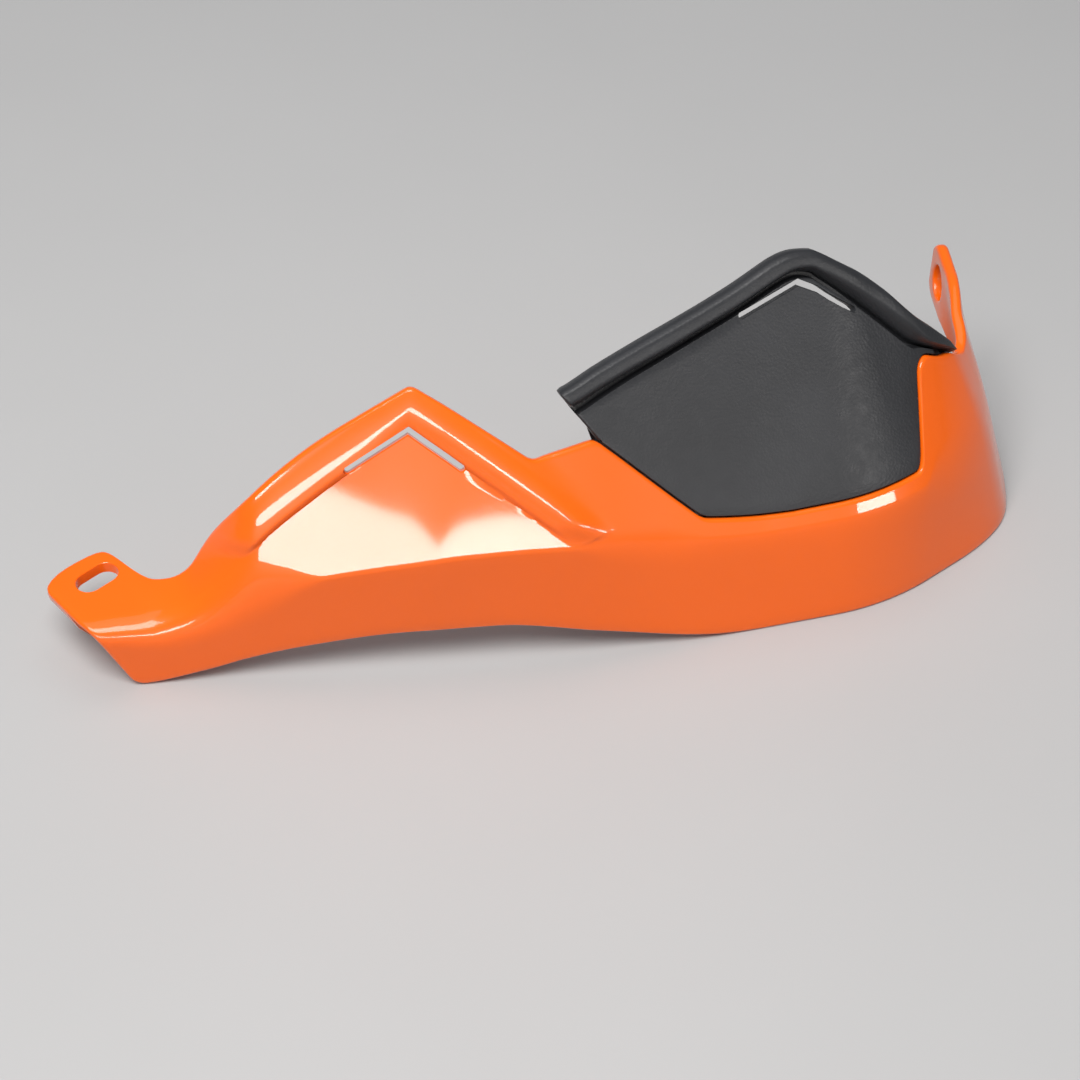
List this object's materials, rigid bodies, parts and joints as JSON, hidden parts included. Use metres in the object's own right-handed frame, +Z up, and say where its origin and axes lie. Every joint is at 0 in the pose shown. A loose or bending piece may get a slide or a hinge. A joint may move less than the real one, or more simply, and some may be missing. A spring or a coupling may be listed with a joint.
{
  "type": "motorcycle hand guard",
  "caption": "Wrap-round hand guard: a moulded shell with a recessed wing, an inner slotted tab and a bar end ear, and a wind shield behind its cut-out.",
  "frame": {"origin": "centre of the bar end ear's bore, half way through its wall", "axes": "+X along the handlebar towards its end, +Y back towards the rider, +Z up; the guard stands on its lower edge"},
  "size_m": [0.3191, 0.1189, 0.1131],
  "materials": {
    "shell_orange": "glossy injection-moulded orange plastic",
    "shield_black": "fine-grained matt black plastic"
  },
  "bodies": {
    "root": {"guard_shell": "shell_orange", "wind_shield": "shield_black"}
  },
  "joints": []
}
